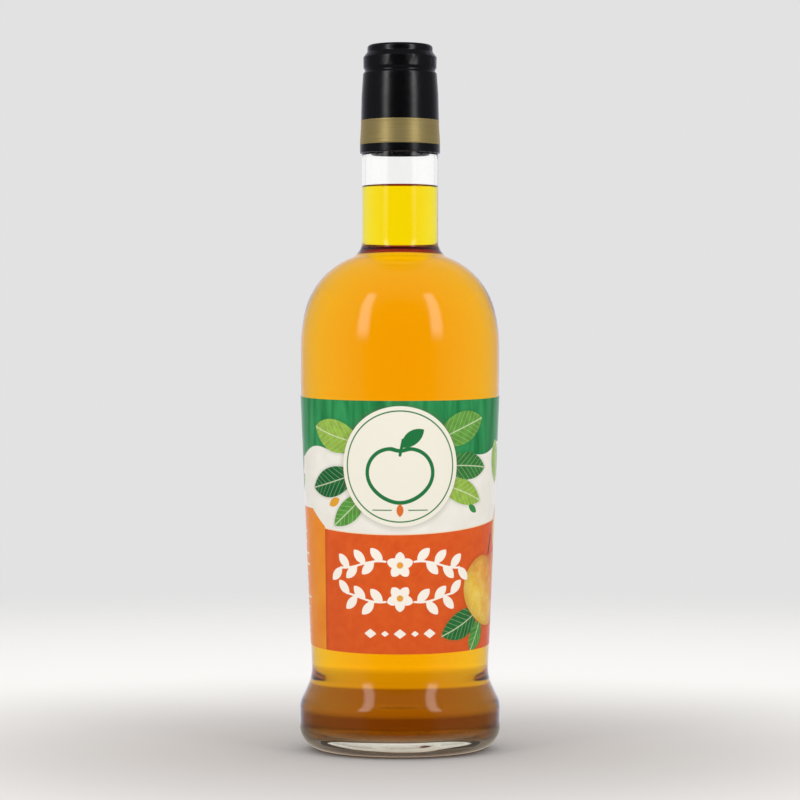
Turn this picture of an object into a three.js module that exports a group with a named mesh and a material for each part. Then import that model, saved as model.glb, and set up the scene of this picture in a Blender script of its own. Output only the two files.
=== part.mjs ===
// A 75 cl vinegar bottle: a clear glass bottle on a flared foot, amber vinegar up to the
// neck, a long black capsule with a gold band, and a paper label that runs round the body
// and leaves a strip of glass bare at the back.
// Millimetres, +Z up, with the origin at the centre of the ring that the bottle stands on.

import * as THREE from "three";

// Facets round every turned piece, and the most that one straight step of an arc turns.
const FACETS = 40;
const ARC_STEP = THREE.MathUtils.degToRad(18);

// Clearance left between pieces that touch on the real bottle.
const GAP = 0.3;

// Glass, outside: the corners of the outline and the rounding of each.
const PUSH_UP = 4.6;
const PUSH_UP_RADIUS = 17;
const PUSH_UP_ROUND = 24;
const CONTACT_INNER_RADIUS = 28.9;
const CONTACT_ROUND = 1.5;
const FOOT_RADIUS = 41.05;
const HEEL_ROUND = 9.5;
const FOOT_TOP = 18.95;
const FOOT_ROUND = 8.4;
const WAIST_RADIUS = 35.94;
const WAIST_HEIGHT = 29.6;
const WAIST_ROUND = 18.8;
const BODY_RADIUS = 40.83;
const TAPER_TOP = 149.25;
const TAPER_ROUND = 150;
const SHOULDER_START = 171.83;
const SHOULDER_START_ROUND = 60;
const SHOULDER_RADIUS = 34.91;
const SHOULDER_HEIGHT = 195.16;
const SHOULDER_ROUND = 31.5;
const NECK_RADIUS = 15.6;
const NECK_ROOT = 202.98;
const NECK_ROOT_ROUND = 7.1;

// Glass, inside. The wall is thickest in the foot and where the bore narrows to the mouth.
const FLOOR_CROWN = 8.3;
const FLOOR_CROWN_RADIUS = 14;
const FLOOR_CROWN_ROUND = 40;
const FLOOR_HEIGHT = 7;
const FLOOR_EDGE_RADIUS = 30;
const FLOOR_EDGE_ROUND = 20;
const FLOOR_CORNER_ROUND = 5;
const FOOT_WALL = 3.9;
const WAIST_WALL = 3.3;
const BODY_WALL = 2.85;
const SHOULDER_WALL = 2.55;
const SHOULDER_DROP = 0.8;
const BORE_RADIUS = 12.4;
const BORE_ROOT = 200.76;
const BORE_ROOT_ROUND = 10.3;

// Mouth of the glass, hidden by the capsule.
const COLLAR_BASE = 243;
const COLLAR_TOP = 270.5;
const COLLAR_TOP_RADIUS = 14.2;
const LIP_RADIUS = 12.4;
const LIP_BASE = 273.5;
const LIP_TOP = 287;
const LIP_ROUND = 1;
const LIP_BORE = 9.3;

// Vinegar, filled into the neck.
const FILL_LEVEL = 229.2;

// Capsule: a plain skirt that widens downwards, a groove, a ring and a narrower head.
const CAPSULE_BOTTOM = 243.6;
const CAPSULE_TOP = 288.1;
const HEM_RADIUS = 16.42;
const HEM_CHAMFER = 0.3;
const HEM_TOP = 248.2;
const SKIRT_MIDDLE_RADIUS = 16.05;
const SKIRT_MIDDLE = 254.5;
const SKIRT_UPPER_RADIUS = 15.75;
const SKIRT_UPPER = 267.5;
const SKIRT_TOP_RADIUS = 15.15;
const SKIRT_TOP = 276.3;
const GROOVE_RADIUS = 14.3;
const GROOVE_HEIGHT = 277.4;
const RING_RADIUS = 15.05;
const RING_BOTTOM = 278.7;
const RING_TOP = 283;
const HEAD_RADIUS = 13.4;
const HEAD_BASE = 285.2;
const SKIRT_ROUND = 30;
const RING_ROUND = 0.7;
const HEAD_ROUND = 1.4;

// Gold band, let into the capsule so that its face lies flush.
const BAND_BOTTOM = 247.1;
const BAND_TOP = 257.1;
const BAND_THICKNESS = 0.25;
const BAND_SEAT_GAP = 0.15;

// Label: a straight strip of paper, so on the tapered body both edges rise to the back. It
// covers this many of the body's facets.
const LABEL_BOTTOM = 41.5;
const LABEL_TOP = 142.6;
const LABEL_GAP = 0.15;
const LABEL_THICKNESS = 0.1;
const LABEL_FACETS = 34;
const LABEL_ROWS = 5;

const glassMaterial = new THREE.MeshStandardMaterial({
  color: 0xe6eeea,
  roughness: 0.04,
  metalness: 0,
  transparent: true,
  opacity: 0.3,
});
const vinegarMaterial = new THREE.MeshStandardMaterial({ color: 0xf5a300, roughness: 0.05, metalness: 0 });
const capsuleMaterial = new THREE.MeshStandardMaterial({ color: 0x0b0b10, roughness: 0.28, metalness: 0 });
const bandMaterial = new THREE.MeshStandardMaterial({ color: 0xb9a55f, roughness: 0.35, metalness: 0.9 });
const labelMaterial = new THREE.MeshStandardMaterial({ color: 0xe1601f, roughness: 0.45, metalness: 0 });

// Points of one rounded corner: the arc of the given radius that touches both sides.
function cornerArc(before, corner, after, radius) {
  const inward = before.clone().sub(corner).normalize();
  const outward = after.clone().sub(corner).normalize();
  const halfAngle = Math.acos(inward.dot(outward)) / 2;
  const turn = (Math.PI - 2 * halfAngle) * -Math.sign(inward.cross(outward));
  const centre = inward.clone().add(outward).normalize();
  centre.multiplyScalar(radius / Math.sin(halfAngle)).add(corner);
  const start = inward.multiplyScalar(radius / Math.tan(halfAngle)).add(corner).sub(centre);
  const steps = Math.ceil(Math.abs(turn) / ARC_STEP);
  const points = [];
  for (let i = 0; i <= steps; i += 1) {
    points.push(start.clone().rotateAround(new THREE.Vector2(), (turn * i) / steps).add(centre));
  }
  return points;
}

// Outline through corners given as [radius, height, rounding]; no rounding keeps it sharp.
function roundedOutline(corners) {
  const tips = corners.map(([radius, height]) => new THREE.Vector2(radius, height));
  return tips.flatMap((tip, i) => {
    const rounding = corners[i][2];
    return rounding ? cornerArc(tips[i - 1], tip, tips[i + 1], rounding) : [tip];
  });
}

// Unit vector to the left of the way from one point to another.
function leftNormal(from, to) {
  return new THREE.Vector2(from.y - to.y, to.x - from.x).normalize();
}

// The same outline moved to its left by a distance, with mitred corners.
function offsetOutline(outline, distance) {
  const sides = outline.slice(1).map((point, i) => leftNormal(outline[i], point));
  return outline.map((point, i) => {
    const incoming = sides[Math.max(i - 1, 0)];
    const outgoing = sides[Math.min(i, sides.length - 1)];
    const mitre = incoming.clone().add(outgoing).divideScalar(1 + incoming.dot(outgoing));
    return mitre.multiplyScalar(distance).add(point);
  });
}

// Radius of an upward outline at one height.
function radiusAt(outline, height) {
  const next = outline.findIndex((point) => point.y > height);
  const low = outline[next - 1];
  const high = outline[next];
  return THREE.MathUtils.mapLinear(height, low.y, high.y, low.x, high.x);
}

// Part of an upward outline between two heights, with an end point on each of them.
function sliceOutline(outline, bottom, top) {
  const within = outline.filter((point) => point.y > bottom && point.y < top);
  const first = new THREE.Vector2(radiusAt(outline, bottom), bottom);
  const last = new THREE.Vector2(radiusAt(outline, top), top);
  return [first, ...within, last];
}

// A piece turned round the bottle's axis from its closed outline.
function turnedPiece(name, outline, material) {
  const geometry = new THREE.LatheGeometry(outline, FACETS);
  geometry.rotateX(Math.PI / 2);
  const mesh = new THREE.Mesh(geometry, material);
  mesh.name = name;
  return mesh;
}

// Outside of the glass, from the middle of the pushed-up base round to the lip.
const outerWall = roundedOutline([
  [0, PUSH_UP],
  [PUSH_UP_RADIUS, PUSH_UP, PUSH_UP_ROUND],
  [CONTACT_INNER_RADIUS, 0, CONTACT_ROUND],
  [FOOT_RADIUS, 0, HEEL_ROUND],
  [FOOT_RADIUS, FOOT_TOP, FOOT_ROUND],
  [WAIST_RADIUS, WAIST_HEIGHT, WAIST_ROUND],
  [BODY_RADIUS, TAPER_TOP, TAPER_ROUND],
  [BODY_RADIUS, SHOULDER_START, SHOULDER_START_ROUND],
  [SHOULDER_RADIUS, SHOULDER_HEIGHT, SHOULDER_ROUND],
  [NECK_RADIUS, NECK_ROOT, NECK_ROOT_ROUND],
  [NECK_RADIUS, COLLAR_BASE],
  [COLLAR_TOP_RADIUS, COLLAR_TOP],
  [LIP_RADIUS, LIP_BASE],
  [LIP_RADIUS, LIP_TOP, LIP_ROUND],
  [LIP_BORE, LIP_TOP],
]);

// Inside of the glass, from the crown of the floor up to the lip.
const innerWall = roundedOutline([
  [0, FLOOR_CROWN],
  [FLOOR_CROWN_RADIUS, FLOOR_CROWN, FLOOR_CROWN_ROUND],
  [FLOOR_EDGE_RADIUS, FLOOR_HEIGHT, FLOOR_EDGE_ROUND],
  [FOOT_RADIUS - FOOT_WALL, FLOOR_HEIGHT, FLOOR_CORNER_ROUND],
  [FOOT_RADIUS - FOOT_WALL, FOOT_TOP, FOOT_ROUND],
  [WAIST_RADIUS - WAIST_WALL, WAIST_HEIGHT, WAIST_ROUND],
  [BODY_RADIUS - BODY_WALL, TAPER_TOP, TAPER_ROUND],
  [BODY_RADIUS - BODY_WALL, SHOULDER_START - SHOULDER_DROP, SHOULDER_START_ROUND],
  [SHOULDER_RADIUS - SHOULDER_WALL, SHOULDER_HEIGHT - SHOULDER_WALL, SHOULDER_ROUND - BODY_WALL],
  [BORE_RADIUS, BORE_ROOT, BORE_ROOT_ROUND],
  [BORE_RADIUS, COLLAR_BASE],
  [LIP_BORE, COLLAR_TOP],
  [LIP_BORE, LIP_TOP],
]);

function makeBottle() {
  const inside = innerWall.slice(0, -1).reverse();
  return turnedPiece("bottle", [...outerWall, ...inside], glassMaterial);
}

// Vinegar fills the glass to the level, just clear of its wall.
function makeVinegar() {
  const side = offsetOutline(innerWall, GAP);
  side[0].x = 0;
  const wet = side.filter((point) => point.y < FILL_LEVEL);
  const brim = new THREE.Vector2(radiusAt(side, FILL_LEVEL), FILL_LEVEL);
  const middle = new THREE.Vector2(0, FILL_LEVEL);
  return turnedPiece("vinegar", [...wet, brim, middle], vinegarMaterial);
}

// Outer face of the capsule, from the hem up to the middle of its top.
const capsuleFace = roundedOutline([
  [HEM_RADIUS - HEM_CHAMFER, CAPSULE_BOTTOM],
  [HEM_RADIUS, CAPSULE_BOTTOM + HEM_CHAMFER],
  [HEM_RADIUS, HEM_TOP, SKIRT_ROUND],
  [SKIRT_MIDDLE_RADIUS, SKIRT_MIDDLE, SKIRT_ROUND],
  [SKIRT_UPPER_RADIUS, SKIRT_UPPER, SKIRT_ROUND],
  [SKIRT_TOP_RADIUS, SKIRT_TOP, RING_ROUND],
  [GROOVE_RADIUS, GROOVE_HEIGHT, RING_ROUND],
  [RING_RADIUS, RING_BOTTOM, RING_ROUND],
  [RING_RADIUS, RING_TOP, RING_ROUND],
  [HEAD_RADIUS, HEAD_BASE, HEAD_ROUND],
  [HEAD_RADIUS, CAPSULE_TOP, HEAD_ROUND],
  [0, CAPSULE_TOP],
]);

// An outline brought closer to the axis by a depth.
function sinkOutline(outline, depth) {
  return outline.map((point) => new THREE.Vector2(point.x - depth, point.y));
}

// The capsule's bore is the neck and the lip of the glass with the clearance round them,
// and its face has the seat that the gold band lies in.
function makeCapsule() {
  const neck = sliceOutline(outerWall, CAPSULE_BOTTOM, LIP_TOP - LIP_ROUND);
  const bore = offsetOutline(neck, -GAP).reverse();
  bore[0].y = LIP_TOP + GAP;
  bore[bore.length - 1].y = CAPSULE_BOTTOM;
  const roof = new THREE.Vector2(0, LIP_TOP + GAP);
  const seatBottom = BAND_BOTTOM - BAND_SEAT_GAP;
  const seatTop = BAND_TOP + BAND_SEAT_GAP;
  const below = sliceOutline(capsuleFace, CAPSULE_BOTTOM, seatBottom);
  const seat = sliceOutline(capsuleFace, seatBottom, seatTop);
  const sunkSeat = sinkOutline(seat, BAND_THICKNESS + BAND_SEAT_GAP);
  const above = capsuleFace.filter((point) => point.y > seatTop);
  const outline = [roof, ...bore, ...below, ...sunkSeat, seat.at(-1), ...above];
  return turnedPiece("capsule", outline, capsuleMaterial);
}

// The gold band follows the capsule's face.
function makeBand() {
  const face = sliceOutline(capsuleFace, BAND_BOTTOM, BAND_TOP);
  const back = sinkOutline(face, BAND_THICKNESS).reverse();
  return turnedPiece("capsule_band", [...face, ...back, face[0]], bandMaterial);
}

// A point of the label. The strip is laid straight on a cone: at an arc length s from the
// front it stands s * s / (2 * slant) higher, where slant is the distance to the cone's tip.
function labelPoint(angle, row, standOff) {
  const taper = (BODY_RADIUS - WAIST_RADIUS) / (TAPER_TOP - WAIST_HEIGHT);
  const frontHeight = THREE.MathUtils.lerp(LABEL_BOTTOM, LABEL_TOP, row);
  const frontRadius = radiusAt(outerWall, frontHeight);
  const arc = frontRadius * angle;
  const height = frontHeight + (arc * arc * taper) / (2 * frontRadius);
  const radius = radiusAt(outerWall, height) + standOff;
  return [radius * Math.sin(angle), -radius * Math.cos(angle), height];
}

// The label's section at one angle: up its printed face, then down its back.
function labelSection(angle) {
  const rows = Array.from({ length: LABEL_ROWS }, (_, i) => i / (LABEL_ROWS - 1));
  const face = rows.map((row) => labelPoint(angle, row, LABEL_GAP + LABEL_THICKNESS));
  const back = rows.map((row) => labelPoint(angle, row, LABEL_GAP)).reverse();
  return [...face, ...back];
}

// The label is centred on the front, and its sections stand on the corners of the facets.
function makeLabel() {
  const sections = [];
  for (let i = 0; i <= LABEL_FACETS; i += 1) {
    sections.push(labelSection((2 * Math.PI * (i - LABEL_FACETS / 2)) / FACETS));
  }
  const ring = 2 * LABEL_ROWS;
  const end = LABEL_FACETS * ring;
  const indices = [];
  for (let start = 0; start < end; start += ring) {
    for (let i = 0; i < ring; i += 1) {
      const near = start + i;
      const above = start + ((i + 1) % ring);
      indices.push(near, near + ring, above + ring);
      indices.push(near, above + ring, above);
    }
  }
  for (let i = 0; i < LABEL_ROWS - 1; i += 1) {
    const across = ring - 1 - i;
    indices.push(i, i + 1, across - 1);
    indices.push(i, across - 1, across);
    indices.push(end + i, end + across - 1, end + i + 1);
    indices.push(end + i, end + across, end + across - 1);
  }
  const geometry = new THREE.BufferGeometry();
  geometry.setAttribute("position", new THREE.Float32BufferAttribute(sections.flat(2), 3));
  geometry.setIndex(indices);
  geometry.computeVertexNormals();
  const mesh = new THREE.Mesh(geometry, labelMaterial);
  mesh.name = "label";
  return mesh;
}

const group = new THREE.Group();
group.add(makeBottle(), makeVinegar(), makeCapsule(), makeBand(), makeLabel());

export default group;
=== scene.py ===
# %% [markdown]
# # A bottle of amber vinegar
#
# The object is a 75 cl bottle of clear glass on a flared foot, filled with amber vinegar and
# shut under a long black capsule with a gold band. A printed paper label runs round the body.
# Nearly everything on it is turned about one axis, so nearly every piece below is an outline
# in the plane of radius and height that is carried once round that axis.
#
# The imported CAD model is loaded first.

import bpy
import numpy as np
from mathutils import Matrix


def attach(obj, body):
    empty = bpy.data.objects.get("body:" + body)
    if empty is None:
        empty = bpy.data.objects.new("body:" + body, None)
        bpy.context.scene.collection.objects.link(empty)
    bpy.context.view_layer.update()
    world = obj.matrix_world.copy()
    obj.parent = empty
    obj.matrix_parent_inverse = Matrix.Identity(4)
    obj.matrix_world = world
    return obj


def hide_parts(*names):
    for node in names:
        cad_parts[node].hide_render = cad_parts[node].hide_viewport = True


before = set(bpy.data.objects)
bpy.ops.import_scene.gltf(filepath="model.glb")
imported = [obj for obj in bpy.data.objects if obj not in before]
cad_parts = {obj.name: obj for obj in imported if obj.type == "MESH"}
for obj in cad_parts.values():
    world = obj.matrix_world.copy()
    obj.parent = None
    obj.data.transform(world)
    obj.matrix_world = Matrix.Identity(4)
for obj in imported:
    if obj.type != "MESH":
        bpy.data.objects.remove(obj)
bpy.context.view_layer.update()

MM = 0.001

# %% [markdown]
# ## Small tools for materials
#
# Colours are written as the hex values that a picture editor shows, and one function turns
# them into the linear values that the renderer works with. A second small function adds a
# node, fills its sockets and links it, so that a material reads as a list of steps.

# %% Colours and nodes


def linear(hex_colour):
    """Linear RGBA of an sRGB hex colour: c / 12.92 below 0.04045, else ((c + 0.055) / 1.055) ^ 2.4."""
    channels = np.array([int(hex_colour[i : i + 2], 16) / 255 for i in (1, 3, 5)])
    low = channels / 12.92
    high = ((channels + 0.055) / 1.055) ** 2.4
    return (*np.where(channels <= 0.04045, low, high).tolist(), 1.0)


def add_node(tree, kind, sockets=None, **settings):
    """Adds a node. A socket is given a number or colour, or is linked to another node's output."""
    node = tree.nodes.new(kind)
    for key, value in settings.items():
        setattr(node, key, value)
    for key, value in (sockets or {}).items():
        if isinstance(value, bpy.types.NodeSocket):
            tree.links.new(value, node.inputs[key])
        else:
            node.inputs[key].default_value = value
    return node


def new_material(name):
    """An empty material and its node tree."""
    material = bpy.data.materials.new(name)
    material.use_nodes = True
    material.node_tree.nodes.clear()
    return material, material.node_tree


# %% [markdown]
# ## The camera
#
# The bottle is seen from the front with a long lens at about half its height, so its sides
# stay nearly upright and the foot shows only a little of its roundness.

# %% Camera
CAMERA_DISTANCE = 1.263
CAMERA_HEIGHT = 0.1509
AIM_HEIGHT = 0.1427
LENS_MM = 138.6

camera_data = bpy.data.cameras.new("camera")
camera_data.lens = LENS_MM
camera_data.sensor_width = 36
camera = bpy.data.objects.new("camera", camera_data)
camera.location = (0, -CAMERA_DISTANCE, CAMERA_HEIGHT)
camera_pitch = np.arctan2(AIM_HEIGHT - CAMERA_HEIGHT, CAMERA_DISTANCE)
camera.rotation_euler = (np.pi / 2 + camera_pitch, 0, 0)
bpy.context.scene.collection.objects.link(camera)
bpy.context.scene.camera = camera
print("camera pitch in degrees:", round(float(np.degrees(camera_pitch)), 2))

# %% [markdown]
# ## The studio
#
# Clear glass shows what stands round it. A studio puts it in front of a bright
# white sheet, keeps the camera's side dark, and adds two tall softboxes. Here the world plays
# the sheet and the dark room, and it answers by the kind of ray: what is seen directly or
# through the glass is the white sheet, what is seen in a reflection is the whole room, and
# diffuse surfaces get an even, soft light. The two ramps, for what is seen in a reflection and
# what is seen through the glass, run from the camera's side (-Y) to the sheet's side (+Y).

# %% World
SHEET_BRIGHTNESS = 0.76
FILL_BRIGHTNESS = 0.9
ROOM = ((0.0, 0.005), (0.09, 0.01), (0.16, 0.11), (0.5, 0.11), (0.7, 0.11), (0.9, 0.35), (1.0, 0.95))
ROOM_BLUE = 1.15
THROUGH_GLASS = ((0.0, 0.02), (0.14, 0.08), (0.3, 0.85), (0.45, 1.03), (1.0, 1.03))

world = bpy.data.worlds.new("studio")
bpy.context.scene.world = world
world.use_nodes = True
tree = world.node_tree
tree.nodes.clear()
direction = add_node(tree, "ShaderNodeTexCoord").outputs["Generated"]
depth = add_node(tree, "ShaderNodeSeparateXYZ", {"Vector": direction}).outputs["Y"]
along_room = add_node(
    tree, "ShaderNodeMapRange", {"Value": depth, "From Min": -1.0, "From Max": 1.0}
).outputs["Result"]


def room_ramp(places, blue=1.0):
    """Brightness along the room, from rows of place (0 to 1) and brightness."""
    ramp = add_node(tree, "ShaderNodeValToRGB", {"Fac": along_room})
    stops = ramp.color_ramp.elements
    while len(stops) < len(places):
        stops.new(0.5)
    for stop, (place, brightness) in zip(stops, places):
        stop.position = place
        stop.color = (brightness, brightness, brightness * blue, 1)
    return ramp.outputs["Color"]


ray = add_node(tree, "ShaderNodeLightPath").outputs
seen = (FILL_BRIGHTNESS, FILL_BRIGHTNESS, FILL_BRIGHTNESS, 1)
for kind, answer in (
    ("Is Glossy Ray", room_ramp(ROOM, ROOM_BLUE)),
    ("Is Transmission Ray", room_ramp(THROUGH_GLASS)),
    ("Is Camera Ray", (SHEET_BRIGHTNESS,) * 3 + (1,)),
):
    seen = add_node(
        tree, "ShaderNodeMix", {0: ray[kind], 6: seen, 7: answer}, data_type="RGBA"
    ).outputs[2]
light = add_node(tree, "ShaderNodeBackground", {"Color": seen, "Strength": 1.0})
add_node(tree, "ShaderNodeOutputWorld", {"Surface": light.outputs[0]})

# %% [markdown]
# The two softboxes stand at the camera's left and right. Each is a tall rectangle that faces
# the bottle, from just above its middle to high overhead, and it is what the bright strips on
# the capsule and on the shoulder are reflections of. Its cloth is darker towards the edges.

# %% Softboxes
SOFTBOX_ANGLE = 43.0
SOFTBOX_DISTANCE = 1.0
SOFTBOX_WIDTH = 0.36
SOFTBOX_HEIGHT = 1.2
SOFTBOX_FOOT = 0.2
SOFTBOX_RADIANCE = 2.7
SOFT_EDGES = {"X": 0.34, "Y": 0.2}


def soften(lamp):
    """Fades a softbox towards its edges, by the share of its width and of its height."""
    lamp.use_nodes = True
    tree = lamp.node_tree
    tree.nodes.clear()
    place = add_node(tree, "ShaderNodeNewGeometry").outputs["Parametric"]
    place = add_node(tree, "ShaderNodeSeparateXYZ", {"Vector": place}).outputs
    strength = 1.0
    for axis, share in SOFT_EDGES.items():
        inside = add_node(
            tree, "ShaderNodeMath", {0: place[axis], 1: 0.5}, operation="PINGPONG"
        ).outputs[0]
        fade = add_node(
            tree,
            "ShaderNodeMapRange",
            {"Value": inside, "From Max": share},
            interpolation_type="SMOOTHSTEP",
        ).outputs[0]
        strength = add_node(
            tree, "ShaderNodeMath", {0: strength, 1: fade}, operation="MULTIPLY"
        ).outputs[0]
    light = add_node(tree, "ShaderNodeEmission", {"Strength": strength})
    add_node(tree, "ShaderNodeOutputLight", {"Surface": light.outputs[0]})


for side, name in ((-1, "softbox_left"), (1, "softbox_right")):
    lamp = bpy.data.lights.new(name, "AREA")
    lamp.shape = "RECTANGLE"
    lamp.size = SOFTBOX_WIDTH
    lamp.size_y = SOFTBOX_HEIGHT
    lamp.energy = SOFTBOX_RADIANCE * np.pi * SOFTBOX_WIDTH * SOFTBOX_HEIGHT
    soften(lamp)
    box = bpy.data.objects.new(name, lamp)
    turn = np.radians(side * SOFTBOX_ANGLE)
    box.location = (
        SOFTBOX_DISTANCE * np.sin(turn),
        -SOFTBOX_DISTANCE * np.cos(turn),
        SOFTBOX_FOOT + SOFTBOX_HEIGHT / 2,
    )
    box.rotation_euler = (np.pi / 2, 0, turn)
    box.visible_camera = False
    box.visible_transmission = False
    bpy.context.scene.collection.objects.link(box)

# %% [markdown]
# The floor is one pale disc with a painted glow: an emission that grows brighter away from
# the bottle, so the floor round the bottle stays darker, a painted shadow. It fades out to the
# white sheet, so there is no edge between them.
# The glass shows a cream table instead, which is lit from above. It is two more discs: one
# that only rays from out of the glass see, and a smaller one that only reflections see.

# %% Floor
FLOOR_RADIUS = 1.1
FLOOR_FADE = (0.3, 1.0)
# Painted glow of the floor: where it starts and ends, and how bright it grows.
FLOOR_PAINTED_GLOW = (0.06, 0.34)
FLOOR_PAINTED_GLOW_BRIGHTNESS = 0.36
TABLE_FADE = (0.14, 0.32)
SHINE_FADE = (0.09, 0.12)


def disc(name, radius, rings, columns, height):
    """A flat disc of rings and columns round the axis, with a fan of triangles in its middle."""
    ring = radius * np.linspace(0, 1, rings + 1)[1:, None]
    turn = np.linspace(0, 2 * np.pi, columns, endpoint=False)[None, :]
    points = np.stack([ring * np.cos(turn), ring * np.sin(turn), 0 * ring * turn + height], axis=2)
    points = np.concatenate([[[0, 0, height]], points.reshape(-1, 3)])
    column = np.arange(columns)
    beside = (column + 1) % columns
    fan = np.stack([0 * column, 1 + column, 1 + beside], axis=1)
    start = 1 + columns * np.arange(rings - 1)[:, None]
    quads = np.stack(
        [start + column, start + column + columns, start + beside + columns, start + beside],
        axis=2,
    ).reshape(-1, 4)
    mesh = bpy.data.meshes.new(name)
    mesh.from_pydata(points.tolist(), [], fan.tolist() + quads.tolist())
    piece = bpy.data.objects.new(name, mesh)
    bpy.context.scene.collection.objects.link(piece)
    return piece


def along_reach(tree, start, end, top=1.0):
    """A soft step from 0 to the top between two distances from the axis."""
    place = add_node(tree, "ShaderNodeTexCoord").outputs["Object"]
    reach = add_node(
        tree, "ShaderNodeVectorMath", {0: place}, operation="LENGTH"
    ).outputs["Value"]
    return add_node(
        tree,
        "ShaderNodeMapRange",
        {"Value": reach, "From Min": start, "From Max": end, "To Max": top},
        interpolation_type="SMOOTHSTEP",
    ).outputs["Result"]


floor_material, tree = new_material("pale_floor")
gone = along_reach(tree, *FLOOR_FADE)
# Painted glow: an emission that rises with the distance from the bottle, leaving a painted shadow
# round it.
painted_glow_strength = along_reach(tree, *FLOOR_PAINTED_GLOW, FLOOR_PAINTED_GLOW_BRIGHTNESS)
matt = add_node(tree, "ShaderNodeBsdfDiffuse", {"Color": linear("#cfccc9")}).outputs[0]
painted_glow = add_node(tree, "ShaderNodeEmission", {"Strength": painted_glow_strength}).outputs[0]
floor_with_painted_glow = add_node(tree, "ShaderNodeAddShader", {0: matt, 1: painted_glow}).outputs[0]
clear = add_node(tree, "ShaderNodeBsdfTransparent").outputs[0]
faded = add_node(tree, "ShaderNodeMixShader", {0: gone, 1: floor_with_painted_glow, 2: clear}).outputs[0]
add_node(tree, "ShaderNodeOutputMaterial", {"Surface": faded})
floor = disc("floor", FLOOR_RADIUS, 24, 96, -0.0004)
floor.data.materials.append(floor_material)


def table_disc(name, colour, fade, height):
    """A disc of one even colour that fades out, hidden from the camera and from diffuse light."""
    material, tree = new_material(name)
    gone = along_reach(tree, *fade)
    top = add_node(tree, "ShaderNodeEmission", {"Color": linear(colour)}).outputs[0]
    clear = add_node(tree, "ShaderNodeBsdfTransparent").outputs[0]
    faded = add_node(tree, "ShaderNodeMixShader", {0: gone, 1: top, 2: clear}).outputs[0]
    add_node(tree, "ShaderNodeOutputMaterial", {"Surface": faded})
    piece = disc(name, fade[1], 12, 96, height)
    piece.data.materials.append(material)
    piece.visible_camera = False
    piece.visible_diffuse = False
    piece.visible_shadow = False
    return piece


table_disc("table_through_glass", "#dcd7ca", TABLE_FADE, -0.0001).visible_glossy = False
table_disc("table_in_reflections", "#c9c2b4", SHINE_FADE, -0.0002).visible_transmission = False
floor.visible_glossy = False
floor.visible_transmission = False

# %% [markdown]
# ## Outlines and turning
#
# A drawing of a bottle gives a few corners, each with the radius of its rounding. The first
# function below turns such a list into a smooth outline. The next ones divide it into short
# steps, move it sideways by a wall's thickness, and carry it round the axis. Faces go round
# from the front (-Y) towards +X, and an outline keeps the material on its left.

# %% Outlines
ARC_STEP = np.radians(4)


def rounded_outline(corners):
    """Outline through rows of radius, height and rounding, in millimetres.

    A rounding of radius q at a corner whose sides meet at the angle w touches both sides at
    q / tan(w / 2) from the corner, and its centre lies q / sin(w / 2) away on the bisector.
    """
    corners = [(*row, 0.0) if len(row) == 2 else row for row in corners]
    points = np.array([row[:2] for row in corners], float)
    pieces = []
    for i, (_, _, rounding) in enumerate(corners):
        if rounding == 0:
            pieces.append(points[i][None])
            continue
        to_last = points[i - 1] - points[i]
        to_next = points[i + 1] - points[i]
        to_last /= np.linalg.norm(to_last)
        to_next /= np.linalg.norm(to_next)
        half = np.arccos(to_last @ to_next) / 2
        bisector = (to_last + to_next) / np.linalg.norm(to_last + to_next)
        centre = points[i] + bisector * rounding / np.sin(half)
        start = points[i] + to_last * rounding / np.tan(half) - centre
        sweep = np.pi - 2 * half
        side = np.sign(to_last[1] * to_next[0] - to_last[0] * to_next[1])
        turn = side * sweep * np.linspace(0, 1, 1 + int(np.ceil(sweep / ARC_STEP)))
        across = np.array([-start[1], start[0]])
        pieces.append(centre + np.cos(turn)[:, None] * start + np.sin(turn)[:, None] * across)
    return np.concatenate(pieces)


def divided(outline, step):
    """The same outline with every side cut into equal pieces no longer than the step."""
    lengths = np.linalg.norm(np.diff(outline, axis=0), axis=1)
    counts = np.maximum(1, np.ceil(lengths / step)).astype(int)
    stations = np.concatenate([[0], np.cumsum(counts)])
    fine = np.arange(stations[-1] + 1)
    return np.stack([np.interp(fine, stations, outline[:, k]) for k in (0, 1)], axis=1)


def normals_of(outline):
    """Unit normals to the right of the way along the outline, from central differences."""
    way = np.gradient(outline, axis=0)
    way /= np.linalg.norm(way, axis=1, keepdims=True)
    return np.stack([way[:, 1], -way[:, 0]], axis=1)


# %% Turning
COLUMNS = 192


def evenly_round(count=COLUMNS):
    """Angles of the columns, from the back round the front to the back again."""
    return np.linspace(-np.pi, np.pi, count, endpoint=False)


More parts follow.
